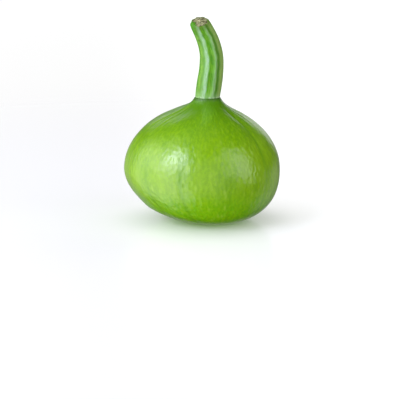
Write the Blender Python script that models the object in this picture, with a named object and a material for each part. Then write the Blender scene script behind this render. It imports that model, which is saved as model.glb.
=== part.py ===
"""A round bottle gourd, picked young with its stem and standing on its blossom end.

Metres, +Z up. The origin lies on the surface that the gourd stands on, under the middle of its
widest ring, and its front faces -Y. Turns are angles about +Z, from +X towards +Y.

The fruit is one solid, grown as one piece, and the stem that joins it at the crown is another.
"""

import math

import bmesh
import bpy
from mathutils import Vector

# The fruit's driving sizes
FRUIT_RADIUS = 0.0600
FRONT_TO_BACK = 0.985
WIDEST_HEIGHT = 0.0400
DOME_HEIGHT = 0.0479

# The collar that rises round the stem
COLLAR_RADIUS = 0.0098
COLLAR_RISE = 0.0075
COLLAR_SPREAD = 0.0045

# A lopsided fruit: how far +X of its middle the crown and the blossom end lie
CROWN_SHIFT = 0.0042
CROWN_SHIFT_REACH = 0.0190
BLOSSOM_SHIFT = 0.0078
BLOSSOM_SHIFT_POWER = 1.55

# The blossom end: a sunk scar inside the flat ring that the fruit stands on
FOOT_RADIUS = 0.0165
FOOT_INNER_RADIUS = 0.0132
FLANK_FULLNESS = 1.12
SCAR_RADIUS = 0.0095
SCAR_CENTRE_HEIGHT = 0.0014
SCAR_EDGE_HEIGHT = 0.0030
SCAR_GROOVE_HEIGHT = 0.0042
SCAR_GROOVE_WIDTH = 0.0014

# Shallow grooves from the blossom end to the crown: turn in degrees, depth on the flank and on the shoulder
GROOVES = (
    (-134.5, 0.00030, 0.00010),
    (-106.0, 0.00040, 0.00005),
    (-72.0, 0.00015, 0.00010),
    (-37.0, 0.00020, 0.00055),
    (-3.0, 0.00030, 0.00040),
    (31.0, 0.00045, 0.00030),
    (66.0, 0.00035, 0.00045),
    (102.0, 0.00045, 0.00040),
    (139.0, 0.00030, 0.00045),
    (171.0, 0.00025, 0.00035),
    (-162.0, 0.00020, 0.00035),
)
GROOVE_SPREAD = math.radians(4.5)

# Slow lobes: waves round the fruit, the first one's turn, and height
LOBES = ((3, 0.2, 0.00060), (2, 3.3, 0.00042))

# The side away from the lean, where the shoulder and the flank's foot are fuller
SWELL_TURN = math.radians(180)
SWELL_SPREAD = 0.9
SWELL_RADIUS = 0.0185
SWELL_WIDTH = 0.0060
SWELL_HEIGHT = 0.0008
LOW_SWELL_LEVEL = 0.0105
LOW_SWELL_WIDTH = 0.0055
LOW_SWELL_HEIGHT = 0.0012

# Where grooves and lobes die out
CROWN_FADE = 0.014
FOOT_FADE = 0.010
GROOVES_CHANGE_FROM = 0.042
GROOVES_CHANGE_UP_TO = 0.060

# The stem: the middle of each station from the middle of its foot, and its radius over the ridges
STEM_STATIONS = (
    (0.0000, 0.0000, 0.0000, 0.0095),
    (0.0013, 0.0000, 0.0100, 0.0098),
    (0.0027, -0.0001, 0.0205, 0.0095),
    (0.0029, -0.0006, 0.0310, 0.0091),
    (0.0010, -0.0018, 0.0405, 0.0086),
    (-0.0026, -0.0042, 0.0495, 0.0080),
    (-0.0063, -0.0078, 0.0574, 0.0075),
)
STEM_GAP = 0.0003
STEM_TWIST = math.radians(11)
TWIST_FROM = 0.55
STEM_VALLEY_DEPTH = 0.0011

# Each ridge of the stem: turn at the foot and half-width in degrees, and height
STEM_RIDGES = (
    (-156.5, 13.0, 0.0007),
    (-121.0, 14.0, 0.0011),
    (-77.5, 8.5, 0.0009),
    (-40.5, 12.0, 0.0010),
    (0.0, 11.0, 0.0010),
    (41.0, 13.0, 0.0009),
    (82.0, 10.0, 0.0011),
    (122.0, 12.0, 0.0009),
    (163.0, 12.0, 0.0008),
)
FOOT_RIDGE_SHARE = 0.35
RIDGES_FULL_FROM = 0.20

# The oblique cut: the way it faces, where the stem starts to turn to it, and its rounded rim
CUT_FACING = Vector((-0.15, -0.50, 0.85)).normalized()
CUT_FROM = 0.75
LEVEL_UP_TO = 0.15
RIM_WIDTH = 0.0009
RIM_HEIGHT = 0.00054
CUT_DOME = 0.0005

# How finely each solid is faceted
FRUIT_SIDES = 80
FLANK_RINGS = 17
DOME_RINGS = 23
SCAR_SHARES = (0.0, 0.35, 0.65, 0.88, 1.0)
FOOT_SHARES = (0.3, 0.65, 1.0)
STEM_SIDES = 72
STEM_RINGS = 30

# Colour, then roughness
FRUIT_FINISH = ((0.30, 0.50, 0.06), 0.35)
STEM_FINISH = ((0.16, 0.38, 0.08), 0.50)


def clear_scene():
    for thing in list(bpy.data.objects):
        bpy.data.objects.remove(thing)


def smooth_step(value, low, high):
    share = min(max((value - low) / (high - low), 0.0), 1.0)
    return share * share * (3 - 2 * share)


def bell(value, middle, spread):
    return math.exp(-(((value - middle) / spread) ** 2))


def once_round(angle, spread):
    """1 where the angle is 0, falling smoothly to 0 within a few spreads, once a turn."""
    return math.exp((math.cos(angle) - 1) / spread**2)


def crown_height():
    """Height of the small flat seat that the stem grows from."""
    dome = math.sqrt(1 - (COLLAR_RADIUS / FRUIT_RADIUS) ** 2)
    return WIDEST_HEIGHT + DOME_HEIGHT * dome + COLLAR_RISE


def scar_stations():
    """(radius, height) from the middle of the blossom scar out to the flat ring."""
    for share in SCAR_SHARES:
        rise = (SCAR_EDGE_HEIGHT - SCAR_CENTRE_HEIGHT) * share**2
        yield SCAR_RADIUS * share, SCAR_CENTRE_HEIGHT + rise
    groove_end = SCAR_RADIUS + SCAR_GROOVE_WIDTH
    yield groove_end, SCAR_GROOVE_HEIGHT
    for share in FOOT_SHARES:
        radius = groove_end + (FOOT_INNER_RADIUS - groove_end) * share
        yield radius, SCAR_GROOVE_HEIGHT * (1 - smooth_step(share, 0, 1))


def flank_station(share):
    """(radius, height) from the flat ring, share 0, up to the widest ring, share 1."""
    angle = share * math.pi / 2
    radius = FOOT_RADIUS + (FRUIT_RADIUS - FOOT_RADIUS) * math.sin(angle) ** FLANK_FULLNESS
    return radius, WIDEST_HEIGHT * (1 - math.cos(angle))


def dome_station(share):
    """(radius, height) from the widest ring, share 0, to the collar that holds the stem, share 1."""
    angle = share * math.acos(COLLAR_RADIUS / FRUIT_RADIUS)
    radius = FRUIT_RADIUS * math.cos(angle)
    collar = COLLAR_RISE * math.exp(-(radius - COLLAR_RADIUS) / COLLAR_SPREAD)
    return radius, WIDEST_HEIGHT + DOME_HEIGHT * math.sin(angle) + collar


def fruit_profile():
    """Every ring of the fruit, from the blossom end to the crown."""
    rings = list(scar_stations())
    rings += [flank_station(step / FLANK_RINGS) for step in range(FLANK_RINGS + 1)]
    rings += [dome_station(step / DOME_RINGS) for step in range(1, DOME_RINGS + 1)]
    return rings


def axis_shift(radius, height):
    """How far the middle of a ring lies to +X."""
    if height < WIDEST_HEIGHT:
        return BLOSSOM_SHIFT * (1 - height / WIDEST_HEIGHT) ** BLOSSOM_SHIFT_POWER
    return CROWN_SHIFT * bell(radius, COLLAR_RADIUS, CROWN_SHIFT_REACH)


def groove_depth(turn, height):
    shoulder = smooth_step(height, GROOVES_CHANGE_FROM, GROOVES_CHANGE_UP_TO)
    depth = 0.0
    for degrees, on_flank, on_shoulder in GROOVES:
        here = on_flank + (on_shoulder - on_flank) * shoulder
        depth += here * once_round(turn - math.radians(degrees), GROOVE_SPREAD)
    return depth


def fruit_relief(turn, radius, height):
    """How far the skin stands out of the smooth profile."""
    lobes = sum(rise * math.sin(waves * turn + first) for waves, first, rise in LOBES)
    relief = lobes - groove_depth(turn, height)
    swell_side = once_round(turn - SWELL_TURN, SWELL_SPREAD)
    if height < WIDEST_HEIGHT:
        swell = LOW_SWELL_HEIGHT * bell(height, LOW_SWELL_LEVEL, LOW_SWELL_WIDTH)
        return smooth_step(height, 0.0, FOOT_FADE) * (relief + swell_side * swell)
    swell = SWELL_HEIGHT * bell(radius, SWELL_RADIUS, SWELL_WIDTH)
    return smooth_step(radius, COLLAR_RADIUS, COLLAR_RADIUS + CROWN_FADE) * relief + swell_side * swell


def fruit_rings():
    """The points of each ring. Relief stands along the profile's normal, and none is in the scar."""
    profile = fruit_profile()
    rings = []
    for index, (radius, height) in enumerate(profile):
        before = profile[max(index - 1, 0)]
        after = profile[min(index + 1, len(profile) - 1)]
        along = Vector((after[0] - before[0], after[1] - before[1])).normalized()
        shift = axis_shift(radius, height)
        smooth = radius <= FOOT_RADIUS and height <= SCAR_GROOVE_HEIGHT
        ring = []
        for side in range(FRUIT_SIDES):
            turn = 2 * math.pi * side / FRUIT_SIDES
            relief = 0.0 if smooth else fruit_relief(turn, radius, height)
            out = radius + relief * along.y
            x = shift + out * math.cos(turn)
            y = out * math.sin(turn) * FRONT_TO_BACK
            ring.append(Vector((x, y, height - relief * along.x)))
        rings.append(ring)
    return rings


def through(p, q, r, s, part):
    """The smooth curve from q to r, given the values before and after them."""
    bend = (2 * p - 5 * q + 4 * r - s) * part**2 + (3 * q - p - 3 * r + s) * part**3
    return 0.5 * (2 * q + (r - p) * part + bend)


def stem_station(share):
    """(x, y, z, radius) at this share of the way along the stem's stations."""
    last = len(STEM_STATIONS) - 1
    index = min(int(share * last), last - 1)
    part = share * last - index
    start, end = STEM_STATIONS[index], STEM_STATIONS[index + 1]
    before = STEM_STATIONS[index - 1] if index > 0 else [2 * q - r for q, r in zip(start, end)]
    after = STEM_STATIONS[index + 2] if index + 2 <= last else [2 * r - q for q, r in zip(start, end)]
    return [through(p, q, r, s, part) for p, q, r, s in zip(before, start, end, after)]


def stem_foot():
    return Vector((CROWN_SHIFT, 0.0, crown_height() + STEM_GAP))


def stem_plane(share):
    """(middle, across, up) of the stem's ring: level at the foot, and in the plane of the cut at the end."""
    step = 0.01
    ahead = Vector(stem_station(min(share + step, 1.0))[:3])
    behind = Vector(stem_station(max(share - step, 0.0))[:3])
    facing = (ahead - behind).normalized()
    facing = facing.lerp(Vector((0, 0, 1)), 1 - smooth_step(share, 0.0, LEVEL_UP_TO))
    facing = facing.lerp(CUT_FACING, smooth_step(share, CUT_FROM, 1.0)).normalized()
    across = (Vector((1, 0, 0)) - facing * facing.x).normalized()
    middle = stem_foot() + Vector(stem_station(share)[:3])
    return middle, across, facing.cross(across)


def stem_radius(turn, share):
    """Radius at a turn: rounded ridges, lowest at the foot."""
    twist = STEM_TWIST * (1 + smooth_step(share, TWIST_FROM, 1.0))
    ridges = 0.0
    for degrees, half_width, rise in STEM_RIDGES:
        angle = turn - math.radians(degrees) - twist
        ridges += rise * once_round(angle, math.radians(half_width))
    full = FOOT_RIDGE_SHARE + (1 - FOOT_RIDGE_SHARE) * smooth_step(share, 0.0, RIDGES_FULL_FROM)
    return stem_station(share)[3] - full * (STEM_VALLEY_DEPTH - ridges)


def stem_ring(share, inset=0.0, raised=0.0):
    middle, across, up = stem_plane(share)
    centre = middle + across.cross(up) * raised
    ring = []
    for side in range(STEM_SIDES):
        turn = 2 * math.pi * side / STEM_SIDES
        radius = stem_radius(turn, share) - inset
        ring.append(centre + across * (radius * math.cos(turn)) + up * (radius * math.sin(turn)))
    return ring


def stem_rings():
    """The points of each ring from the foot to the rim of the cut end."""
    rings = [stem_ring(step / STEM_RINGS) for step in range(STEM_RINGS + 1)]
    rings.append(stem_ring(1.0, inset=RIM_WIDTH, raised=RIM_HEIGHT))
    return rings


def skin_between(name, rings, first_pole, last_pole):
    """A closed mesh through the rings, ending in a point at each end."""
    shape = bmesh.new()
    loops = [[shape.verts.new(point) for point in ring] for ring in rings]
    for low, high in zip(loops, loops[1:]):
        for side in range(len(low)):
            beyond = (side + 1) % len(low)
            shape.faces.new((low[side], low[beyond], high[beyond], high[side]))
    for loop, pole in ((loops[0][::-1], first_pole), (loops[-1], last_pole)):
        tip = shape.verts.new(pole)
        for side, corner in enumerate(loop):
            shape.faces.new((corner, loop[(side + 1) % len(loop)], tip))
    bmesh.ops.recalc_face_normals(shape, faces=shape.faces)
    mesh = bpy.data.meshes.new(name)
    shape.to_mesh(mesh)
    shape.free()
    return mesh


def material_of(name, finish):
    colour, roughness = finish
    material = bpy.data.materials.new(name)
    material.use_nodes = True
    shader = material.node_tree.nodes["Principled BSDF"]
    shader.inputs["Base Color"].default_value = (*colour, 1.0)
    shader.inputs["Roughness"].default_value = roughness
    return material


def place(name, mesh, finish):
    mesh.shade_smooth()
    mesh.materials.append(material_of(name, finish))
    bpy.context.scene.collection.objects.link(bpy.data.objects.new(name, mesh))


def make_fruit():
    rings = fruit_rings()
    bottom = rings.pop(0)[0]
    seat = Vector((CROWN_SHIFT, 0.0, crown_height()))
    place("fruit", skin_between("fruit", rings, bottom, seat), FRUIT_FINISH)


def make_stem():
    middle, across, up = stem_plane(1.0)
    tip = middle + across.cross(up) * (RIM_HEIGHT + CUT_DOME)
    place("stem", skin_between("stem", stem_rings(), stem_foot(), tip), STEM_FINISH)


def main():
    clear_scene()
    make_fruit()
    make_stem()


main()
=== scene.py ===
"""The looks of a round bottle gourd, picked young with its stem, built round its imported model.

Metres, +Z up. The gourd stands on z = 0 and its front faces -Y. Turns are angles about +Z, from +X
towards +Y. The fruit and the stem are made again from the sizes of their solids, finely enough to
carry the relief of the skin, and stand for them.
"""

import math

import bpy
import numpy as np
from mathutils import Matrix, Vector, noise


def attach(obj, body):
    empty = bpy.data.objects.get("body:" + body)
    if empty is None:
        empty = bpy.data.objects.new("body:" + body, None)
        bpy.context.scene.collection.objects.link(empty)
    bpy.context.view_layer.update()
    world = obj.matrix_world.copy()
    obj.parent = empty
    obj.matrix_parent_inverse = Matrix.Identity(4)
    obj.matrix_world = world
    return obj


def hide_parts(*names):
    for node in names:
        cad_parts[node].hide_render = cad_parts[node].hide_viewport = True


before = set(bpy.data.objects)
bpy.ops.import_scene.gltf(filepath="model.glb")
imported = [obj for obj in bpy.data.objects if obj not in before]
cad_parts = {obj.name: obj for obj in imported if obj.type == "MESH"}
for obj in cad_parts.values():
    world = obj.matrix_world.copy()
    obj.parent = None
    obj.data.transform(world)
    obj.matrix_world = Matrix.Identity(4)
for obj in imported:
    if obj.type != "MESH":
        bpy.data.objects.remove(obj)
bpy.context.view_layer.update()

# The fruit's driving sizes
FRUIT_RADIUS = 0.0600
FRONT_TO_BACK = 0.985
WIDEST_HEIGHT = 0.0400
DOME_HEIGHT = 0.0479

# The collar that rises round the stem
COLLAR_RADIUS = 0.0098
COLLAR_RISE = 0.0075
COLLAR_SPREAD = 0.0045

# A lopsided fruit: how far +X of its middle the crown and the blossom end lie
CROWN_SHIFT = 0.0042
CROWN_SHIFT_REACH = 0.0190
BLOSSOM_SHIFT = 0.0078
BLOSSOM_SHIFT_POWER = 1.55

# The blossom end: a sunk scar inside the flat ring that the fruit stands on
FOOT_RADIUS = 0.0165
FOOT_INNER_RADIUS = 0.0132
FLANK_FULLNESS = 1.12
SCAR_RADIUS = 0.0095
SCAR_CENTRE_HEIGHT = 0.0014
SCAR_EDGE_HEIGHT = 0.0030
SCAR_GROOVE_HEIGHT = 0.0042
SCAR_GROOVE_WIDTH = 0.0014

# Shallow grooves from the blossom end to the crown: turn in degrees, depth on the flank, on the shoulder
GROOVES = (
    (-134.5, 0.00030, 0.00010),
    (-106.0, 0.00040, 0.00005),
    (-72.0, 0.00015, 0.00010),
    (-37.0, 0.00020, 0.00055),
    (-3.0, 0.00030, 0.00040),
    (31.0, 0.00045, 0.00030),
    (66.0, 0.00035, 0.00045),
    (102.0, 0.00045, 0.00040),
    (139.0, 0.00030, 0.00045),
    (171.0, 0.00025, 0.00035),
    (-162.0, 0.00020, 0.00035),
)
GROOVE_SPREAD = math.radians(4.5)
CREASE_SPREAD = math.radians(1.1)
CREASE_SHARE = 0.12
CREASE_FULL_DEPTH = 0.0004

# Slow lobes: waves round the fruit, the first one's turn, and height
LOBES = ((3, 0.2, 0.00060), (2, 3.3, 0.00042))

# The side away from the lean, where the shoulder and the flank's foot are fuller
SWELL_TURN = math.radians(180)
SWELL_SPREAD = 0.9
SWELL_RADIUS = 0.0185
SWELL_WIDTH = 0.0060
SWELL_HEIGHT = 0.0008
LOW_SWELL_LEVEL = 0.0105
LOW_SWELL_WIDTH = 0.0055
LOW_SWELL_HEIGHT = 0.0012

# Where grooves and lobes die out
CROWN_FADE = 0.014
FOOT_FADE = 0.010
GROOVES_CHANGE_FROM = 0.042
GROOVES_CHANGE_UP_TO = 0.060

# The skin's own relief: width and length of its patches, and height
PEBBLES = ((0.0030, 0.0042, 0.00008), (0.0070, 0.0120, 0.00006), (0.0200, 0.0350, 0.00010))
NOISE_STEP = np.array((7.3, -3.1, 5.7))

# Fine ridges on the shoulder: turn and half-width in degrees, and height
SHOULDER_RIDGES = (
    (-167.0, 1.2, 0.00026),
    (-158.0, 1.3, 0.00042),
    (-149.0, 1.1, 0.00034),
    (-93.0, 1.2, 0.00006),
    (-51.0, 1.4, 0.00010),
    (-24.0, 1.4, 0.00020),
    (-15.0, 1.2, 0.00016),
    (13.0, 1.5, 0.00018),
    (47.0, 1.3, 0.00022),
    (55.0, 1.3, 0.00016),
    (84.0, 1.5, 0.00020),
    (118.0, 1.3, 0.00016),
    (127.0, 1.5, 0.00022),
    (155.0, 1.4, 0.00018),
)
SHOULDER_FROM = 0.068
SHOULDER_UP_TO = 0.081
COLLAR_FADE = 0.006
RIDGE_SHADE_OFFSET = math.radians(3.2)
RIDGE_FULL_HEIGHT = 0.00026

# The blossom scar's wrinkles, as rows for ripples()
SCAR_RIPPLES = ((0.00012, 40, 3, 5, 0.0),)
SCAR_RIPPLE_SPREAD = 0.003

# The seam round the stem's foot: the collar's lip rolls over and dips against the stem
LIP_ROLL = 0.0006
LIP_FLATNESS = 0.6
LIP_DIP = 0.0012
LIP_FLOOR_SHARE = 0.97

# Where the fruit's colours change: radii from its axis, and heights
SCAR_EDGE_INSIDE = 0.0005
SCAR_EDGE_OUTSIDE = 0.0010
CROWN_TINT_REACH = 0.016
SEAM_WIDTH = 0.0010
UPPER_FROM = 0.056
UPPER_UP_TO = 0.082
LOWER_UP_TO = 0.014
LOWER_FROM = 0.036

# The stem: the middle of each station from the middle of its foot, and its radius over the ridges
STEM_STATIONS = (
    (0.0000, 0.0000, 0.0000, 0.0095),
    (0.0013, 0.0000, 0.0100, 0.0098),
    (0.0027, -0.0001, 0.0205, 0.0095),
    (0.0029, -0.0006, 0.0310, 0.0091),
    (0.0010, -0.0018, 0.0405, 0.0086),
    (-0.0026, -0.0042, 0.0495, 0.0080),
    (-0.0063, -0.0078, 0.0574, 0.0075),
)
STEM_GAP = 0.0003
STEM_SINK = 0.0012
STEM_TWIST = math.radians(11)
TWIST_FROM = 0.55
STALK_RADIUS = 0.009

# Each ridge of the stem: turn at the foot and half-width in degrees, height, how pale it makes the stem
# (partly its own whitish crest, partly painted highlight), how olive, and how much painted shade
# darkens the valley past it
STEM_RIDGES = (
    (-156.5, 13.0, 0.0007, 0.00, 0.30, 0.45),
    (-121.0, 14.0, 0.0011, 1.00, 0.00, 0.10),
    (-77.5, 8.5, 0.0009, 0.60, 0.12, 0.95),
    (-40.5, 12.0, 0.0010, 0.20, 0.80, 0.10),
    (0.0, 11.0, 0.0010, 0.50, 0.50, 0.40),
    (41.0, 13.0, 0.0009, 0.70, 0.10, 0.80),
    (82.0, 10.0, 0.0011, 0.90, 0.00, 0.20),
    (122.0, 12.0, 0.0009, 0.45, 0.50, 0.60),
    (163.0, 12.0, 0.0008, 0.60, 0.20, 0.90),
)
STEM_VALLEY_DEPTH = 0.0011
FOOT_RIDGE_SHARE = 0.35
RIDGES_FULL_FROM = 0.20

# How the ridges wander: how far, then waves along the stem, how these differ by ridge, and their share
STEM_WANDER = math.radians(1.2)
WANDER_WAVES = ((21, 1, 1.0), (47, 2, 0.7))

# The ridges' colours, with the painted shade of their valleys and their partly painted highlights: how
# far past its ridge each lies, and how wide it is beside the ridge
SHADE_OFFSET = math.radians(15)
SHADE_SPREAD = math.radians(5.5)
PALE_OFFSET = 0.20
PALE_SHARE = 0.90
PALE_EDGE_FROM = 0.30
PALE_EDGE_UP_TO = 0.80
OLIVE_SHARE = 1.2

# Fine lines along the stem, which sway, and broader ones, which twist
FINE_LINES = 41
FINE_LINE_HEIGHT = 0.00006
FINE_LINE_SWAY = 3
FINE_LINE_SWAYS = 7
BROAD_LINES = 23
BROAD_LINE_HEIGHT = 0.00005
BROAD_LINE_TWIST = 5

# The oblique cut: the way it faces, where the stem starts to turn to it, and its rolled green rim
CUT_FACING = Vector((-0.15, -0.50, 0.85)).normalized()
CUT_FROM = 0.75
LEVEL_UP_TO = 0.15
RIM_ROLL = 0.0005
RIM_ROLL_SHARE = 0.3
RIM_HEIGHT = 0.0005
RIM_WIDTH = 0.0003
RIM_RIPPLES = ((0.25, 5, 0, 0, 0.7), (0.20, 9, 0, 0, 0.0))
RIM_ROUND = 0.0006
RIM_ROUND_FROM = 0.97

# The ear: a green lobe of the rim that stands over one side of the cut
EAR_TURN = math.radians(208)
EAR_SPREAD = math.radians(26)
EAR_WIDTH = 0.0032
EAR_HEIGHT = 0.0007
EAR_DIP = 0.6
EAR_SWELL = 0.0003
EAR_SWELL_AT = 0.93
EAR_SWELL_REACH = 0.07
EAR_FROM = 0.80
EAR_FULL_FROM = 0.92

# The dried cork of the cut, with a pale star in its middle and dark specks round its edge
CORK_DOME = 0.0009
CORK_SINK = 0.0004
CORK_EDGE = 0.0003
CORK_MIDDLE = 0.0070
CORK_RIPPLES = ((0.00016, 13, 2, 3, 0.0), (0.00010, 29, 3, 7, 0.0))
STAR_RADIUS = 0.0021
STAR_POINTS = 5
STAR_START = 0.5
STAR_DEPTH = 0.35
STAR_CORE = 0.4
SPECK_MIDDLE = 0.00066
SPECK_WIDTH = 0.00045
SPECK_TURN = math.radians(-100)
SPECK_SPREAD = 0.9
EDGE_SPECKS = 0.55

# A small dark blemish on the stem: where it is, and how far it reaches
BLEMISH_TURN = math.radians(-132)
BLEMISH_SHARE = 0.80
BLEMISH_SPREAD = math.radians(5)
BLEMISH_REACH = 0.018

# How finely each piece is made
SCAR_STEPS = 40
FLANK_STEPS = 300
DOME_STEPS = 400
LIP_STEPS = 12
FRUIT_SIDES = 520
FRUIT_RINGS = 184
RING_CROWDING = 0.30
STEM_SIDES = 216
STEM_RINGS = 210
CUT_RINGS = 26
CUT_RING_CROWDING = 1.3

# The skin's colours
SKIN_DEEP = (0.185, 0.400, 0.0005, 1)
SKIN_LIGHT = (0.245, 0.470, 0.001, 1)
SKIN_STRIPE = (0.320, 0.560, 0.006, 1)
SKIN_UPPER = (0.126, 0.340, 0.0001, 1)
SKIN_LOWER = (0.160, 0.465, 0.0003, 1)
SKIN_MOTTLE = (0.280, 0.535, 0.0005, 1)
SKIN_STROKE = (0.325, 0.580, 0.006, 1)
SKIN_FLECK = (0.360, 0.600, 0.050, 1)
# Painted shade in the grooves' creases
SKIN_CREASE_SHADE = (0.128, 0.335, 0.0002, 1)
SKIN_CROWN = (0.085, 0.265, 0.0003, 1)
# Painted shade beside the shoulder ridges, and a painted highlight along them
SKIN_RIDGE_SHADE = (0.080, 0.260, 0.0003, 1)
SKIN_RIDGE_HIGHLIGHT = (0.340, 0.560, 0.050, 1)
# Painted shadow in the seam round the stem's foot
SKIN_SEAM_SHADOW = (0.040, 0.140, 0.002, 1)
SCAR_DEEP = (0.210, 0.130, 0.060, 1)
SCAR_LIGHT = (0.420, 0.330, 0.180, 1)

# The skin's patches: their size round the fruit, twice, and along it
PATCH_SIZES = (0.016, 0.016, 0.040)
STRIPE_SIZES = (0.0050, 0.0050, 0.045)
MOTTLE_SIZES = (0.0023, 0.0023, 0.0032)
STROKE_SIZES = (0.0017, 0.0017, 0.0080)
FLECK_SIZES = (0.0034, 0.0034, 0.0080)
FLECK_GROUP_SIZES = (0.020, 0.020, 0.020)
SCAR_GRAIN_SIZES = (0.0012, 0.0012, 0.0012)
SHEEN_SIZES = (0.006, 0.006, 0.010)
DIMPLE_SIZES = (0.0026, 0.0026, 0.0034)
PORE_SIZES = (0.0009, 0.0009, 0.0013)
DIMPLE_DEPTH = 0.00030
STROKE_HEIGHT = 0.00009
PORE_DEPTH = 0.00004

# The stem's colours, and those of its dried end
STEM_DEEP = (0.070, 0.300, 0.002, 1)
STEM_LIGHT = (0.140, 0.415, 0.007, 1)
# Painted shade in the stem's valleys
STEM_VALLEY_SHADE = (0.060, 0.260, 0.001, 1)
# The stem's own whitish crest, partly a painted highlight
STEM_PALE_AND_HIGHLIGHT = (0.395, 0.610, 0.385, 1)
STEM_FIBRE = (0.330, 0.540, 0.160, 1)
STEM_OLIVE = (0.330, 0.450, 0.110, 1)
# Painted shade past each ridge
STEM_SHADE = (0.045, 0.200, 0.0005, 1)
STEM_BLOTCH = (0.190, 0.250, 0.030, 1)
STEM_FOOT = (0.400, 0.640, 0.300, 1)
STEM_FOOT_LINE = (0.500, 0.660, 0.420, 1)
STEM_BY_CUT = (0.085, 0.150, 0.008, 1)
STEM_EAR = (0.056, 0.250, 0.0003, 1)
STEM_BLEMISH = (0.040, 0.120, 0.004, 1)
CORK_DEEP = (0.100, 0.100, 0.032, 1)
CORK_LIGHT = (0.440, 0.445, 0.235, 1)
CORK_GRAIN = (0.090, 0.080, 0.045, 1)
CORK_STAR = (0.760, 0.740, 0.400, 1)
CORK_SPECK = (0.045, 0.060, 0.008, 1)

# The stem's patches: their size round the stem, twice, and along it
FIBRE_SIZES = (0.0006, 0.0006, 0.0120)
STEM_PATCH_SIZES = (0.0024, 0.0024, 0.0070)
PALE_PATCH_SIZES = (0.0016, 0.0016, 0.0060)
BLOTCH_SIZES = (0.0014, 0.0014, 0.0026)
FOOT_LINE_SIZES = (0.0012, 0.0012, 0.0030)
RAY_SIZES = (0.0011, 0.0011, 0.0060)
CORK_GRAIN_SIZES = (0.0008, 0.0008, 0.0008)
FIBRE_HEIGHT = 0.00010
CORK_GRAIN_HEIGHT = 0.00030

# The camera, at the photograph's viewing angle
CAMERA_ELEVATION = 12
CAMERA_DISTANCE = 1.100
CAMERA_AIM = Vector((-0.00152, 0.0, 0.0150))
CAMERA_LENS = 128.3
CAMERA_SENSOR = 36.0

# Studio panels: degrees round from the front, degrees up, half-width, half-height, soft edge, and light
PANELS = (
    (-50, 35, 5, 6, 9, (3.7, 3.8, 5.0)),
    (-50, 32, 15, 16, 14, (1.25, 1.30, 1.60)),
    (-78, 34, 18, 22, 14, (0.45, 0.45, 0.52)),
    (-75, -12, 33, 36, 27, (1.00, 1.00, 1.05)),
    (50, 27, 8, 22, 9, (0.74, 0.74, 0.80)),
    (70, 17, 8, 23, 9, (1.05, 1.05, 1.12)),
    (-14, -4, 36, 30, 30, (0.32, 0.32, 0.33)),
    (128, -22, 14, 12, 14, (0.30, 0.30, 0.30)),
    (166, 11, 9, 6, 9, (0.75, 0.75, 0.75)),
    (-165, 23, 4, 4, 7, (0.85, 0.85, 0.90)),
    (-168, -14, 26, 10, 16, (0.30, 0.30, 0.30)),
)
SURROUND = 0.005
BACKDROP = 0.985

# Large soft lights that add no shine: name, degrees round from the front, degrees up, and power
FILLS = (
    ("front_left_fill", -45, 0, 4.05),
    ("front_fill", 0, 5, 2.0),
    ("front_right_fill", 45, 0, 4.3),
    ("top_fill", -120, 82, 7.1),
    ("low_left_fill", -60, -50, 3.4),
    ("low_right_fill", 60, -50, 2.2),
    ("back_left_fill", -135, 20, 6.8),
    ("back_right_fill", 135, 20, 5.0),
)
FILL_DISTANCE = 1.3
FILL_SIZE = 1.2
FILL_AIM_HEIGHT = 0.05

# The floor: its white, how much of it is its own light near the gourd and far off, and where it changes
FLOOR_RADIUS = 8.0
FLOOR_SIDES = 128
FLOOR_WHITE = 0.80
FLOOR_GLOW = 0.36
FLOOR_FAR_GLOW = 0.950
FLOOR_NEAR = 0.15
FLOOR_FAR = 0.90
SHADE_RADIUS = 0.045


def smooth_step(value, low, high):
    share = np.clip((value - low) / (high - low), 0.0, 1.0)
    return share * share * (3 - 2 * share)


def bell(value, middle, spread):
    return np.exp(-(((value - middle) / spread) ** 2))


def once_round(angle, spread):
    """1 where the angle is 0, falling smoothly to 0 within a few spreads, once a turn."""
    return np.exp((np.cos(angle) - 1) / spread**2)


def ripples(turn, rows):
    """The sum of waves round the axis, each with a height, a count, how far and how often it sways, and
    where it starts."""
    total = 0.0
    for height, count, sway, sways, first in rows:
        total = total + height * np.sin(count * turn + sway * np.sin(sways * turn) + first)
    return total


def noise_at(points, sizes, seed):
    """Smooth noise from about -1 to 1 at each point, in patches of these sizes along x, y and z."""
    scaled = points / np.array(sizes) + seed * NOISE_STEP
    values = [noise.noise(Vector(point)) for point in scaled.reshape(-1, 3)]
    return np.array(values).reshape(points.shape[:-1])


def outward(across, rise):
    """The direction this many degrees round from the front and this many up."""
    across, rise = math.radians(across), math.radians(rise)
    level = math.cos(rise)
    return Vector((math.sin(across) * level, -math.cos(across) * level, math.sin(rise)))


def crown_height():
    dome = math.sqrt(1 - (COLLAR_RADIUS / FRUIT_RADIUS) ** 2)
    return WIDEST_HEIGHT + DOME_HEIGHT * dome + COLLAR_RISE


def scar_line():
    """(radius, height) from the middle of the blossom scar out to the flat ring."""
    share = np.linspace(0, 1, SCAR_STEPS)
    inner = SCAR_CENTRE_HEIGHT + (SCAR_EDGE_HEIGHT - SCAR_CENTRE_HEIGHT) * share**2
    groove_end = SCAR_RADIUS + SCAR_GROOVE_WIDTH
    groove = SCAR_EDGE_HEIGHT + (SCAR_GROOVE_HEIGHT - SCAR_EDGE_HEIGHT) * smooth_step(share, 0, 1)
    lip = SCAR_GROOVE_HEIGHT * (1 - smooth_step(share, 0, 1))
    radius = np.concatenate([
        SCAR_RADIUS * share,
        SCAR_RADIUS + SCAR_GROOVE_WIDTH * share[1:],
        groove_end + (FOOT_INNER_RADIUS - groove_end) * share[1:],
    ])
    return radius, np.concatenate([inner, groove[1:], lip[1:]])


def flank_line():
    """(radius, height) from the flat ring up to the widest ring."""
    angle = np.linspace(0, math.pi / 2, FLANK_STEPS)
    radius = FOOT_RADIUS + (FRUIT_RADIUS - FOOT_RADIUS) * np.sin(angle) ** FLANK_FULLNESS
    return radius, WIDEST_HEIGHT * (1 - np.cos(angle))


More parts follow.
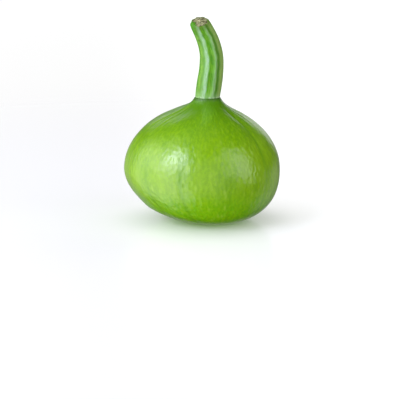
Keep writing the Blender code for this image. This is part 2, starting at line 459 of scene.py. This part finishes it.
def dome_line():
    """(radius, height) from the widest ring up to the collar."""
    angle = np.linspace(0, math.acos(COLLAR_RADIUS / FRUIT_RADIUS), DOME_STEPS)[1:]
    radius = FRUIT_RADIUS * np.cos(angle)
    collar = COLLAR_RISE * np.exp(-(radius - COLLAR_RADIUS) / COLLAR_SPREAD)
    return radius, WIDEST_HEIGHT + DOME_HEIGHT * np.sin(angle) + collar


def lip_line():
    """(radius, height) over the collar's lip and down against the stem, to the middle."""
    angle = np.linspace(0, math.pi, LIP_STEPS)[1:]
    radius = COLLAR_RADIUS - LIP_ROLL + LIP_ROLL * np.cos(angle)
    height = crown_height() + LIP_ROLL * LIP_FLATNESS * np.sin(angle)
    floor_radius = radius[-1] * LIP_FLOOR_SHARE
    return np.append(radius, [floor_radius, 0.0]), np.append(height, [crown_height() - LIP_DIP] * 2)


def fruit_profile():
    """(radius, height, way along the skin) of each ring from scar to stem, closer at both ends."""
    lines = (scar_line(), flank_line(), dome_line(), lip_line())
    radius = np.concatenate([line[0] for line in lines])
    height = np.concatenate([line[1] for line in lines])
    way = np.concatenate([[0.0], np.cumsum(np.hypot(np.diff(radius), np.diff(height)))])
    share = np.linspace(0, 1, FRUIT_RINGS + 2)
    rings = way[-1] * (share - RING_CROWDING * np.sin(2 * math.pi * share) / (2 * math.pi))
    return np.interp(rings, way, radius), np.interp(rings, way, height), rings


def axis_shift(radius, height):
    low = BLOSSOM_SHIFT * np.clip(1 - height / WIDEST_HEIGHT, 0, 1) ** BLOSSOM_SHIFT_POWER
    high = CROWN_SHIFT * bell(radius, COLLAR_RADIUS, CROWN_SHIFT_REACH)
    return np.where(height < WIDEST_HEIGHT, low, np.where(radius < COLLAR_RADIUS, CROWN_SHIFT, high))


def groove_depth(turn, height):
    """(depth of the broad grooves, depth of the fine creases in them) at each point."""
    shoulder = smooth_step(height, GROOVES_CHANGE_FROM, GROOVES_CHANGE_UP_TO)
    broad, fine = 0.0, 0.0
    for degrees, on_flank, on_shoulder in GROOVES:
        depth = on_flank + (on_shoulder - on_flank) * shoulder
        angle = turn - math.radians(degrees)
        broad = broad + depth * once_round(angle, GROOVE_SPREAD)
        fine = fine + depth * once_round(angle, CREASE_SPREAD)
    return broad, fine


def shoulder_ridges(turn, radius, height):
    """How far the fine ridges of the shoulder stand out at each point."""
    on_shoulder = smooth_step(height, SHOULDER_FROM, SHOULDER_UP_TO)
    off_collar = smooth_step(radius, COLLAR_RADIUS, COLLAR_RADIUS + COLLAR_FADE)
    ridges = 0.0
    for degrees, half_width, rise in SHOULDER_RIDGES:
        ridges = ridges + rise * once_round(turn - math.radians(degrees), math.radians(half_width))
    return on_shoulder * off_collar * ridges


def fruit_relief(turn, radius, height, skin):
    """How far the skin stands out of the smooth profile at each point."""
    low = height < WIDEST_HEIGHT
    above_foot = smooth_step(height, 0.0, FOOT_FADE)
    below_crown = smooth_step(radius, COLLAR_RADIUS, COLLAR_RADIUS + CROWN_FADE)
    fade = np.where(low, above_foot, below_crown)
    broad, fine = groove_depth(turn, height)
    lobes = sum(rise * np.sin(waves * turn + first) for waves, first, rise in LOBES)
    on_shoulder = SWELL_HEIGHT * bell(radius, SWELL_RADIUS, SWELL_WIDTH)
    on_foot = LOW_SWELL_HEIGHT * fade * bell(height, LOW_SWELL_LEVEL, LOW_SWELL_WIDTH)
    swell = once_round(turn - SWELL_TURN, SWELL_SPREAD) * np.where(low, on_foot, on_shoulder)
    relief = fade * (lobes - broad - CREASE_SHARE * fine) + swell
    for seed, (width, length, rise) in enumerate(PEBBLES):
        relief = relief + fade * rise * noise_at(skin, (width, width, length), seed)
    in_scar = low * (1 - smooth_step(radius, SCAR_RADIUS, FOOT_INNER_RADIUS))
    wrinkles = in_scar * bell(radius, SCAR_RADIUS, SCAR_RIPPLE_SPREAD) * ripples(turn, SCAR_RIPPLES)
    return relief + shoulder_ridges(turn, radius, height) + wrinkles


def grid_mesh(name, points, first_pole, last_pole):
    """A closed mesh through rings of points, ending in a point at each end, with a smooth surface."""
    rings, sides = points.shape[:2]
    corners = np.arange(rings * sides).reshape(rings, sides)
    beyond = np.roll(corners, -1, axis=1)
    quads = np.stack([corners[:-1], beyond[:-1], beyond[1:], corners[1:]], axis=-1).reshape(-1, 4)
    first, last = rings * sides, rings * sides + 1
    fans = [(second, corner, first) for corner, second in zip(corners[0], beyond[0])]
    fans += [(corner, second, last) for corner, second in zip(corners[-1], beyond[-1])]
    mesh = bpy.data.meshes.new(name)
    places = np.concatenate([points.reshape(-1, 3), [first_pole, last_pole]])
    mesh.from_pydata(places.tolist(), [], quads.tolist() + [tuple(map(int, fan)) for fan in fans])
    mesh.shade_smooth()
    return mesh


def keep_numbers(mesh, name, values, first=0, last=0):
    """Stores a number for each point of a grid mesh, with those of its two poles."""
    attribute = mesh.attributes.new(name, "FLOAT", "POINT")
    attribute.data.foreach_set("value", np.append(values.ravel(), [first, last]).astype(np.float32))


def keep_places(mesh, name, values, first, last):
    """Stores a place for each point of a grid mesh, with those of its two poles."""
    attribute = mesh.attributes.new(name, "FLOAT_VECTOR", "POINT")
    places = np.concatenate([values.reshape(-1, 3), [first, last]])
    attribute.data.foreach_set("vector", places.astype(np.float32).ravel())


def add_piece(name, mesh, material, node):
    mesh.materials.append(material)
    piece = bpy.data.objects.new(name, mesh)
    bpy.context.scene.collection.objects.link(piece)
    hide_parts(node)
    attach(piece, "root")


def keep_skin_numbers(mesh, turns, radii, heights):
    """Stores what the skin's colours go by: how far each point is in a crease, on a ridge, and so on."""
    above = heights > WIDEST_HEIGHT
    keep_numbers(mesh, "crease", groove_depth(turns, heights)[1] / CREASE_FULL_DEPTH)
    ridges = shoulder_ridges(turns, radii, heights)
    keep_numbers(mesh, "ridge", ridges / RIDGE_FULL_HEIGHT)
    beside = shoulder_ridges(turns + RIDGE_SHADE_OFFSET, radii, heights)
    keep_numbers(mesh, "ridge_shade", beside / RIDGE_FULL_HEIGHT)
    below = (heights < WIDEST_HEIGHT) & (radii < FOOT_RADIUS)
    off_scar = smooth_step(radii, SCAR_RADIUS - SCAR_EDGE_INSIDE, SCAR_RADIUS + SCAR_EDGE_OUTSIDE)
    keep_numbers(mesh, "scar", below * (1 - off_scar), first=1)
    keep_numbers(mesh, "crown", above * bell(radii, COLLAR_RADIUS, CROWN_TINT_REACH), last=1)
    keep_numbers(mesh, "seam", above * bell(radii, COLLAR_RADIUS, SEAM_WIDTH), last=1)
    keep_numbers(mesh, "upper", smooth_step(heights, UPPER_FROM, UPPER_UP_TO), last=1)
    keep_numbers(mesh, "lower", 1 - smooth_step(heights, LOWER_UP_TO, LOWER_FROM), first=1)


def make_fruit(material):
    radius, height, way = fruit_profile()
    along = np.gradient(np.stack([radius, height], axis=-1), way, axis=0)
    along /= np.linalg.norm(along, axis=1, keepdims=True)
    turn = np.arange(FRUIT_SIDES) * 2 * math.pi / FRUIT_SIDES
    ring = slice(1, -1)
    turns, radii = np.meshgrid(turn, radius[ring])
    heights, ways = height[ring, None] + 0 * turns, way[ring, None] + 0 * turns
    skin = np.stack([FRUIT_RADIUS * np.cos(turns), FRUIT_RADIUS * np.sin(turns), ways], axis=-1)
    relief = fruit_relief(turns, radii, heights, skin)
    out = radii + relief * along[ring, 1:]
    points = np.stack([
        axis_shift(radii, heights) + out * np.cos(turns),
        out * np.sin(turns) * FRONT_TO_BACK,
        heights - relief * along[ring, :1],
    ], axis=-1)
    mesh = grid_mesh("gourd_fruit", points, (BLOSSOM_SHIFT, 0, height[0]), (CROWN_SHIFT, 0, height[-1]))
    keep_places(mesh, "skin", skin, (0, 0, 0), (0, 0, way[-1]))
    keep_skin_numbers(mesh, turns, radii, heights)
    add_piece("gourd_fruit", mesh, material, "fruit")


def through(p, q, r, s, part):
    """The smooth curve from q to r, given the values before and after them."""
    bend = (2 * p - 5 * q + 4 * r - s) * part**2 + (3 * q - p - 3 * r + s) * part**3
    return 0.5 * (2 * q + (r - p) * part + bend)


def stem_station(share):
    """(x, y, z, radius) at this share of the way along the stem's stations."""
    last = len(STEM_STATIONS) - 1
    index = min(int(share * last), last - 1)
    part = share * last - index
    start, end = STEM_STATIONS[index], STEM_STATIONS[index + 1]
    before = STEM_STATIONS[index - 1] if index > 0 else [2 * q - r for q, r in zip(start, end)]
    after = STEM_STATIONS[index + 2] if index + 2 <= last else [2 * r - q for q, r in zip(start, end)]
    return [through(p, q, r, s, part) for p, q, r, s in zip(before, start, end, after)]


def stem_foot():
    return Vector((CROWN_SHIFT, 0.0, crown_height() + STEM_GAP))


def stem_plane(share):
    """(middle, across, up) of the stem's ring: level at the foot, in the plane of the cut at the end."""
    step = 0.01
    ahead = Vector(stem_station(min(share + step, 1.0))[:3])
    behind = Vector(stem_station(max(share - step, 0.0))[:3])
    facing = (ahead - behind).normalized()
    facing = facing.lerp(Vector((0, 0, 1)), 1 - float(smooth_step(share, 0.0, LEVEL_UP_TO)))
    facing = facing.lerp(CUT_FACING, float(smooth_step(share, CUT_FROM, 1.0))).normalized()
    across = (Vector((1, 0, 0)) - facing * facing.x).normalized()
    middle = stem_foot() + Vector(stem_station(share)[:3])
    return middle, across, facing.cross(across)


def stem_relief(turn, share):
    """(height of the ridges, how pale they make the stem, partly as painted highlight, how olive, how
    much painted shade darkens their valleys).
    """
    twist = STEM_TWIST * (1 + smooth_step(share, TWIST_FROM, 1.0))
    height, pale, olive, shade = 0.0, 0.0, 0.0, 0.0
    for degrees, half_width, rise, paleness, oliveness, darkness in STEM_RIDGES:
        wander = sum(size * math.sin(waves * share + lag * degrees) for waves, lag, size in WANDER_WAVES)
        angle = turn - math.radians(degrees) - twist - STEM_WANDER * wander
        spread = math.radians(half_width)
        height = height + rise * once_round(angle, spread)
        sharp = 1 - smooth_step(np.sin(angle) / spread, PALE_EDGE_FROM, PALE_EDGE_UP_TO)
        pale = pale + paleness * sharp * once_round(angle - PALE_OFFSET * spread, PALE_SHARE * spread)
        olive = olive + oliveness * once_round(angle, OLIVE_SHARE * spread)
        shade = shade + darkness * once_round(angle - SHADE_OFFSET, SHADE_SPREAD)
    return height, pale, olive, shade


def stem_lines(turn, share):
    """How far the fine and the broader lines stand out of the stem."""
    sway = FINE_LINE_SWAY * math.sin(FINE_LINE_SWAYS * share)
    fine = FINE_LINE_HEIGHT * np.sin(FINE_LINES * turn + sway)
    return fine + BROAD_LINE_HEIGHT * np.sin(BROAD_LINES * turn - BROAD_LINE_TWIST * share)


def ear_at(turn):
    return once_round(turn - EAR_TURN, EAR_SPREAD)


def stem_radius(turn, share):
    full = FOOT_RIDGE_SHARE + (1 - FOOT_RIDGE_SHARE) * smooth_step(share, 0.0, RIDGES_FULL_FROM)
    valleys = full * (STEM_VALLEY_DEPTH - stem_relief(turn, share)[0])
    ear = EAR_SWELL * bell(share, EAR_SWELL_AT, EAR_SWELL_REACH) * ear_at(turn)
    rounded = RIM_ROUND * max(0.0, (share - RIM_ROUND_FROM) / (1 - RIM_ROUND_FROM)) ** 2
    return stem_station(share)[3] - valleys + stem_lines(turn, share) + ear - rounded


def stem_ring(share, turn, inset=0.0, raised=0.0):
    middle, across, up = (np.array(part) for part in stem_plane(share))
    radius = (stem_radius(turn, share) - inset)[:, None]
    raised = (raised + 0 * turn)[:, None]
    round_it = across * radius * np.cos(turn)[:, None] + up * radius * np.sin(turn)[:, None]
    return middle + round_it + np.cross(across, up) * raised


def cut_relief(turn, inside):
    """(height, share of cork) this far in from the cut's edge: a rolled green rim, then dried cork."""
    ear = ear_at(turn)
    rim = RIM_WIDTH * (1 + ripples(turn, RIM_RIPPLES)) + EAR_WIDTH * ear
    up_roll = np.clip(inside / (2 * RIM_ROLL + RIM_ROLL_SHARE * rim), 0, 1)
    roll = (RIM_HEIGHT + EAR_HEIGHT * ear) * np.sin(up_roll * math.pi / 2)
    cork = smooth_step(inside, rim - CORK_EDGE, rim + CORK_EDGE)
    middle = smooth_step(inside, rim, CORK_MIDDLE)
    dip = CORK_SINK * (1 - middle) * (1 + EAR_DIP * ear)
    wrinkles = ripples(turn, CORK_RIPPLES) * (1 - middle)
    return roll + cork * (CORK_DOME * middle - dip + wrinkles), cork


def star_at(turn, radius):
    """1 in the core of the cut end's pale star, falling to 0 at its outline."""
    reach = STAR_RADIUS * (1 - STAR_DEPTH + STAR_DEPTH * np.cos(STAR_POINTS * turn + STAR_START))
    return 1 - smooth_step(radius, STAR_CORE * reach, reach)


def specks_at(turn, inside):
    """How thick the dark specks are this far in from the edge of the cut end."""
    share = EDGE_SPECKS + (1 - EDGE_SPECKS) * once_round(turn - SPECK_TURN, SPECK_SPREAD)
    return bell(inside, SPECK_MIDDLE, SPECK_WIDTH) * share


def make_stem(material):
    turn = np.arange(STEM_SIDES) * 2 * math.pi / STEM_SIDES
    shares = np.linspace(0, 1, STEM_RINGS + 1)
    edge = stem_radius(turn, 1.0)
    insides = [edge * (step / CUT_RINGS) ** CUT_RING_CROWDING for step in range(1, CUT_RINGS)]
    cuts = [cut_relief(turn, inside) for inside in insides]
    corks = [cork for height, cork in cuts]

    rings = [stem_ring(0.0, turn, raised=-STEM_SINK)]
    rings += [stem_ring(share, turn) for share in shares]
    rings += [stem_ring(1.0, turn, inside, height) for inside, (height, cork) in zip(insides, cuts)]
    middle, across, up = stem_plane(1.0)
    tip = middle + across.cross(up) * (RIM_HEIGHT + CORK_DOME)
    mesh = grid_mesh("gourd_stem", np.array(rings), stem_foot() - Vector((0, 0, STEM_SINK)), tip)

    middles = np.array([stem_plane(share)[0] for share in shares])
    steps = np.linalg.norm(np.diff(middles, axis=0), axis=1)
    length = steps.sum()
    way = [0.0, 0.0, *np.cumsum(steps), *(length + inside.mean() for inside in insides)]
    way = np.array(way)[:, None] + 0 * turn
    round_it = (STALK_RADIUS * np.cos(turn) + 0 * way, STALK_RADIUS * np.sin(turn) + 0 * way)
    keep_places(mesh, "stalk", np.stack([*round_it, way], axis=-1), (0, 0, 0), (0, 0, way[-1, 0]))

    ring_shares = [0.0, *shares] + [1.0] * len(insides)
    reliefs = np.array([stem_relief(turn, share) for share in ring_shares])
    keep_numbers(mesh, "crest", reliefs[:, 0] / STEM_VALLEY_DEPTH)
    keep_numbers(mesh, "pale", reliefs[:, 1])
    keep_numbers(mesh, "olive", reliefs[:, 2])
    keep_numbers(mesh, "shade", reliefs[:, 3])
    none = [0 * turn] * (len(shares) + 1)
    stars = [star_at(turn, edge - inside) for inside in insides]
    specks = [specks_at(turn, inside) for inside in insides]
    keep_numbers(mesh, "cork", np.array(none + corks), last=1)
    keep_numbers(mesh, "star", np.array(none + stars), last=1)
    keep_numbers(mesh, "specks", np.array(none + specks))
    ears = [smooth_step(share, EAR_FROM, EAR_FULL_FROM) * ear_at(turn) for share in (0.0, *shares)]
    ears += [(1 - cork) * ear_at(turn) for cork in corks]
    keep_numbers(mesh, "ear", np.array(ears))
    blemish_round = once_round(turn - BLEMISH_TURN, BLEMISH_SPREAD)
    keep_numbers(mesh, "blemish", bell(way / length, BLEMISH_SHARE, BLEMISH_REACH) * blemish_round)
    keep_numbers(mesh, "end", way / length, last=1)
    add_piece("gourd_stem", mesh, material, "stem")


class Shading:
    """The nodes of a material or the world. Each call makes and links some, and gives their output."""

    def __init__(self, tree):
        self.tree = tree

    def node(self, kind, inputs, output=0, **settings):
        made = self.tree.nodes.new("ShaderNode" + kind)
        for name, value in settings.items():
            setattr(made, name, value)
        for socket, value in inputs.items():
            self.feed(made.inputs[socket], value)
        return made.outputs[output]

    def feed(self, socket, value):
        if isinstance(value, bpy.types.NodeSocket):
            self.tree.links.new(value, socket)
        else:
            socket.default_value = value

    def number(self, name):
        return self.node("Attribute", {}, "Fac", attribute_name=name)

    def place(self, name):
        return self.node("Attribute", {}, "Vector", attribute_name=name)

    def stretched(self, place, sizes):
        """The place divided by these sizes, so that a texture of scale 1 has patches of them."""
        return self.node("VectorMath", {0: place, 1: sizes}, operation="DIVIDE")

    def clouds(self, place, sizes, detail=2.0, rough=0.5):
        vector = self.stretched(place, sizes)
        inputs = {"Vector": vector, "Scale": 1.0, "Detail": detail, "Roughness": rough}
        return self.node("TexNoise", inputs)

    def cells(self, place, sizes):
        """(distance from the middle of the nearest cell, that cell's random colour)."""
        vector = self.stretched(place, sizes)
        distance = self.node("TexVoronoi", {"Vector": vector, "Scale": 1.0}, "Distance")
        return distance, distance.node.outputs["Color"]

    def between(self, value, low, high, first=0.0, last=1.0):
        inputs = {"Value": value, "From Min": low, "From Max": high, "To Min": first, "To Max": last}
        return self.node("MapRange", inputs, interpolation_type="SMOOTHSTEP")

    def sum_of(self, first, second):
        return self.node("Math", {0: first, 1: second}, operation="ADD")

    def times(self, first, second):
        return self.node("Math", {0: first, 1: second}, operation="MULTIPLY")

    def mix(self, share, first, second):
        return self.node("Mix", {0: share, 6: first, 7: second}, 2, data_type="RGBA")

    def tint(self, colour, mask, share, over):
        """The colour with this share of another over it, as far as the mask reaches."""
        return self.mix(self.times(mask, share), colour, over)

    def bump(self, height, distance, strength=1.0, normal=None):
        inputs = {"Height": height, "Distance": distance, "Strength": strength}
        if normal:
            inputs["Normal"] = normal
        return self.node("Bump", inputs)

    def finish(self, **inputs):
        """Gives the material's shader its colour, normal and settings."""
        shader = self.tree.nodes["Principled BSDF"]
        for name, value in inputs.items():
            self.feed(shader.inputs[name.replace("_", " ")], value)


def new_material(name):
    material = bpy.data.materials.new(name)
    material.use_nodes = True
    return material, Shading(material.node_tree)


def skin_material():
    """Waxy green skin with painted shade in its grooves, beside its shoulder ridges and round the stem,
    a painted highlight along those ridges, and pale flecks drawn out from stem to blossom end.
    """
    material, s = new_material("gourd_skin")
    skin = s.place("skin")
    upper = s.number("upper")
    colour = s.mix(s.between(s.clouds(skin, PATCH_SIZES, 3.0), 0.35, 0.65), SKIN_DEEP, SKIN_LIGHT)
    colour = s.tint(colour, s.between(s.clouds(skin, STRIPE_SIZES), 0.50, 0.75), 0.25, SKIN_STRIPE)
    colour = s.tint(colour, upper, 0.85, SKIN_UPPER)
    colour = s.tint(colour, s.number("lower"), 0.80, SKIN_LOWER)
    mottles = s.clouds(skin, MOTTLE_SIZES, 1.0)
    colour = s.mix(s.between(mottles, 0.42, 0.62, 0.0, 0.42), colour, SKIN_MOTTLE)
    strokes = s.clouds(skin, STROKE_SIZES, 1.0)
    colour = s.mix(s.between(strokes, 0.48, 0.70, 0.0, 0.14), colour, SKIN_STROKE)
    distance, cell = s.cells(skin, FLECK_SIZES)
    chosen = s.between(s.node("SeparateColor", {"Color": cell}, "Red"), 0.40, 0.75)
    grouped = s.between(s.clouds(skin, FLECK_GROUP_SIZES), 0.40, 0.60, 0.25, 0.60)
    flecks = s.times(s.times(s.between(distance, 0.55, 0.05), chosen), grouped)
    colour = s.tint(colour, flecks, s.between(upper, 1.0, 0.0, 0.20, 1.0), SKIN_FLECK)
    # Painted shade: the grooves' creases are darkened
    colour = s.tint(colour, s.number("crease"), 0.60, SKIN_CREASE_SHADE)
    colour = s.tint(colour, s.number("crown"), 0.85, SKIN_CROWN)
    # Painted shade beside each shoulder ridge and a painted highlight along its top
    colour = s.tint(colour, s.number("ridge_shade"), 0.30, SKIN_RIDGE_SHADE)
    colour = s.tint(colour, s.number("ridge"), 0.26, SKIN_RIDGE_HIGHLIGHT)
    # Painted shadow in the seam where the stem meets the fruit
    colour = s.tint(colour, s.number("seam"), 0.85, SKIN_SEAM_SHADOW)
    scar = s.number("scar")
    grain = s.clouds(skin, SCAR_GRAIN_SIZES, 4.0, 0.6)
    colour = s.mix(scar, colour, s.mix(s.between(grain, 0.35, 0.65), SCAR_DEEP, SCAR_LIGHT))
    rough = s.between(s.clouds(skin, SHEEN_SIZES, 3.0), 0.3, 0.7, 0.30, 0.40)
    dimples = s.clouds(skin, DIMPLE_SIZES, 0.0)
    pores = s.clouds(skin, PORE_SIZES, 3.0, 0.55)
    normal = s.bump(dimples, DIMPLE_DEPTH, s.between(upper, 0.0, 1.0, 1.0, 0.5))
    normal = s.bump(strokes, STROKE_HEIGHT, normal=normal)
    normal = s.bump(pores, PORE_DEPTH, normal=normal)
    s.finish(
        Base_Color=colour,
        Roughness=s.sum_of(rough, s.times(scar, 0.4)),
        Normal=normal,
        Specular_IOR_Level=0.25,
        Coat_Weight=0.90,
        Coat_Roughness=0.21,
        Coat_IOR=1.8,
        Coat_Normal=normal,
        Subsurface_Weight=0.12,
        Subsurface_Radius=(1.0, 1.2, 0.2),
        Subsurface_Scale=0.002,
    )
    return material


def stem_material():
    """Ridged green stem, whitish where it joins the fruit, with a dried, corky cut end."""
    material, s = new_material("gourd_stem")
    stalk = s.place("stalk")
    end, on_cork = s.number("end"), s.number("cork")
    fibres = s.clouds(stalk, FIBRE_SIZES, 3.0)
    patches = s.clouds(stalk, STEM_PATCH_SIZES, 3.0, 0.6)
    colour = s.mix(s.between(patches, 0.35, 0.65), STEM_DEEP, STEM_LIGHT)
    # Painted shade in the valleys between the stem's ridges
    colour = s.tint(colour, s.between(s.number("crest"), 0.35, 0.0), 0.20, STEM_VALLEY_SHADE)
    # Pale crests, partly the stem's own whitish crest and partly painted highlight, in patches
    pale_patches = s.between(s.clouds(stalk, PALE_PATCH_SIZES, 3.0, 0.6), 0.32, 0.62, 0.55, 1.0)
    colour = s.tint(colour, s.times(s.number("pale"), pale_patches), 0.95, STEM_PALE_AND_HIGHLIGHT)
    colour = s.tint(colour, s.between(fibres, 0.50, 0.72), 0.28, STEM_FIBRE)
    colour = s.tint(colour, s.number("olive"), 0.90, STEM_OLIVE)
    # Painted shade: a dark band in the valley past each ridge
    colour = s.tint(colour, s.number("shade"), 0.80, STEM_SHADE)
    colour = s.tint(colour, s.between(s.clouds(stalk, BLOTCH_SIZES), 0.58, 0.74), 0.45, STEM_BLOTCH)
    colour = s.tint(colour, s.between(end, 0.10, 0.01), 0.30, STEM_FOOT)
    broken = s.between(s.clouds(stalk, FOOT_LINE_SIZES), 0.40, 0.60)
    colour = s.tint(colour, s.times(s.between(end, 0.030, 0.010), broken), 0.60, STEM_FOOT_LINE)
    colour = s.tint(colour, s.between(end, 0.93, 1.0), 0.55, STEM_BY_CUT)
    colour = s.tint(colour, s.number("ear"), 0.95, STEM_EAR)
    colour = s.tint(colour, s.number("blemish"), 0.85, STEM_BLEMISH)
    grain = s.clouds(stalk, CORK_GRAIN_SIZES, 4.0, 0.65)
    rays = s.clouds(stalk, RAY_SIZES, 3.0, 0.6)
    cork = s.mix(s.between(rays, 0.40, 0.60), CORK_DEEP, CORK_LIGHT)
    cork = s.tint(cork, s.between(grain, 0.45, 0.65), 0.35, CORK_GRAIN)
    cork = s.tint(cork, s.number("star"), 0.85, CORK_STAR)
    cork = s.tint(cork, s.number("specks"), s.between(grain, 0.36, 0.52, 0.3, 1.0), CORK_SPECK)
    normal = s.bump(fibres, FIBRE_HEIGHT)
    s.finish(
        Base_Color=s.mix(on_cork, colour, cork),
        Roughness=s.sum_of(s.between(fibres, 0.3, 0.7, 0.42, 0.54), s.times(on_cork, 0.3)),
        Normal=s.bump(grain, CORK_GRAIN_HEIGHT, on_cork, normal),
        Specular_IOR_Level=0.30,
        Subsurface_Weight=0.08,
        Subsurface_Radius=(1.0, 1.2, 0.3),
        Subsurface_Scale=0.0015,
    )
    return material


def grey(value):
    return (value, value, value, 1)


def make_floor():
    """A pale, faintly glossy floor that shades off into the white behind it.

    Near the gourd its own glow is held back as far as the gourd hides the sky from it: a painted soft
    shadow, added to the real one that the floor catches. Far off it is as white as the backdrop.
    """
    material, s = new_material("pale_floor")
    bpy.ops.mesh.primitive_circle_add(vertices=FLOOR_SIDES, radius=FLOOR_RADIUS, fill_type="NGON")
    floor = bpy.context.object
    floor.name = "floor"
    place = s.node("TexCoord", {}, "Object")
    fruit_middle = (BLOSSOM_SHIFT / 2, 0.0, WIDEST_HEIGHT)
    reach = s.node("VectorMath", {0: place, 1: fruit_middle}, "Value", operation="DISTANCE")
    cubed = s.node("Math", {0: reach, 1: -3.0}, operation="POWER")
    hidden = s.times(cubed, SHADE_RADIUS**2 * WIDEST_HEIGHT)
    # Painted shadow: the floor's glow dims round the gourd
    near_glow = s.mix(s.between(hidden, 1.0, 0.0), grey(0.0), grey(FLOOR_GLOW))
    far = s.between(reach, FLOOR_NEAR, FLOOR_FAR)
    s.finish(
        Base_Color=s.mix(far, grey(FLOOR_WHITE), grey(0.0)),
        Emission_Color=s.mix(far, near_glow, grey(FLOOR_FAR_GLOW)),
        Emission_Strength=1.0,
        Roughness=0.18,
        Specular_IOR_Level=0.25,
    )
    floor.data.materials.append(material)
    floor.visible_diffuse = False
    floor.visible_glossy = False
    floor.visible_shadow = False


def make_fill(name, across, rise, power):
    """A large soft light, aimed at the gourd, that adds no shine."""
    data = bpy.data.lights.new(name, "AREA")
    data.size = FILL_SIZE
    data.energy = power
    light = bpy.data.objects.new(name, data)
    out = outward(across, rise)
    light.location = out * FILL_DISTANCE + Vector((0, 0, FILL_AIM_HEIGHT))
    light.rotation_euler = out.to_track_quat("Z", "Y").to_euler()
    light.visible_camera = False
    light.visible_glossy = False
    bpy.context.scene.collection.objects.link(light)


def with_panel(s, light, direction, across, rise, half_width, half_height, softness, radiance):
    """The light with that of a soft-edged panel, placed and sized in degrees round and up."""
    level = s.node("VectorMath", {0: direction, 1: (1, 1, 0)}, operation="MULTIPLY")
    level = s.node("VectorMath", {0: level}, operation="NORMALIZE")
    facing = outward(across, 0)
    off_axis = s.node("VectorMath", {0: level, 1: facing}, "Value", operation="DOT_PRODUCT")
    off_axis = s.node("Math", {0: off_axis}, operation="ARCCOSINE")
    height = s.node("Math", {0: s.node("SeparateXYZ", {0: direction}, "Z")}, operation="ARCSINE")
    off_level = s.node("Math", {0: height, 1: math.radians(rise)}, operation="SUBTRACT")
    off_level = s.node("Math", {0: off_level}, operation="ABSOLUTE")
    sideways = s.between(off_axis, math.radians(half_width + softness), math.radians(half_width))
    upwards = s.between(off_level, math.radians(half_height + softness), math.radians(half_height))
    share = s.times(sideways, upwards)
    return s.node("VectorMath", {0: share, 1: radiance, 2: light}, operation="MULTIPLY_ADD")


def make_world():
    """White where the camera sees it, and soft studio panels as light."""
    world = bpy.data.worlds.new("studio")
    bpy.context.scene.world = world
    world.use_nodes = True
    s = Shading(world.node_tree)
    direction = s.node("TexCoord", {}, "Generated")
    light = (SURROUND, SURROUND, SURROUND)
    for placing in PANELS:
        light = with_panel(s, light, direction, *placing)
    seen = s.tree.nodes["Background"]
    seen.inputs["Color"].default_value = grey(BACKDROP)
    felt = s.node("Background", {"Color": light})
    ray = s.node("LightPath", {}, "Is Camera Ray")
    both = s.node("MixShader", {0: ray, 1: felt, 2: seen.outputs[0]})
    s.feed(s.tree.nodes["World Output"].inputs["Surface"], both)


def make_camera():
    data = bpy.data.cameras.new("camera")
    data.lens, data.sensor_width = CAMERA_LENS, CAMERA_SENSOR
    camera = bpy.data.objects.new("camera", data)
    back = outward(0, CAMERA_ELEVATION)
    camera.location = CAMERA_AIM + back * CAMERA_DISTANCE
    camera.rotation_euler = back.to_track_quat("Z", "Y").to_euler()
    bpy.context.scene.collection.objects.link(camera)
    bpy.context.scene.camera = camera


def main():
    make_camera()
    make_fruit(skin_material())
    make_stem(stem_material())
    make_floor()
    for placing in FILLS:
        make_fill(*placing)
    make_world()
    bpy.context.scene.view_settings.view_transform = "Standard"


main()
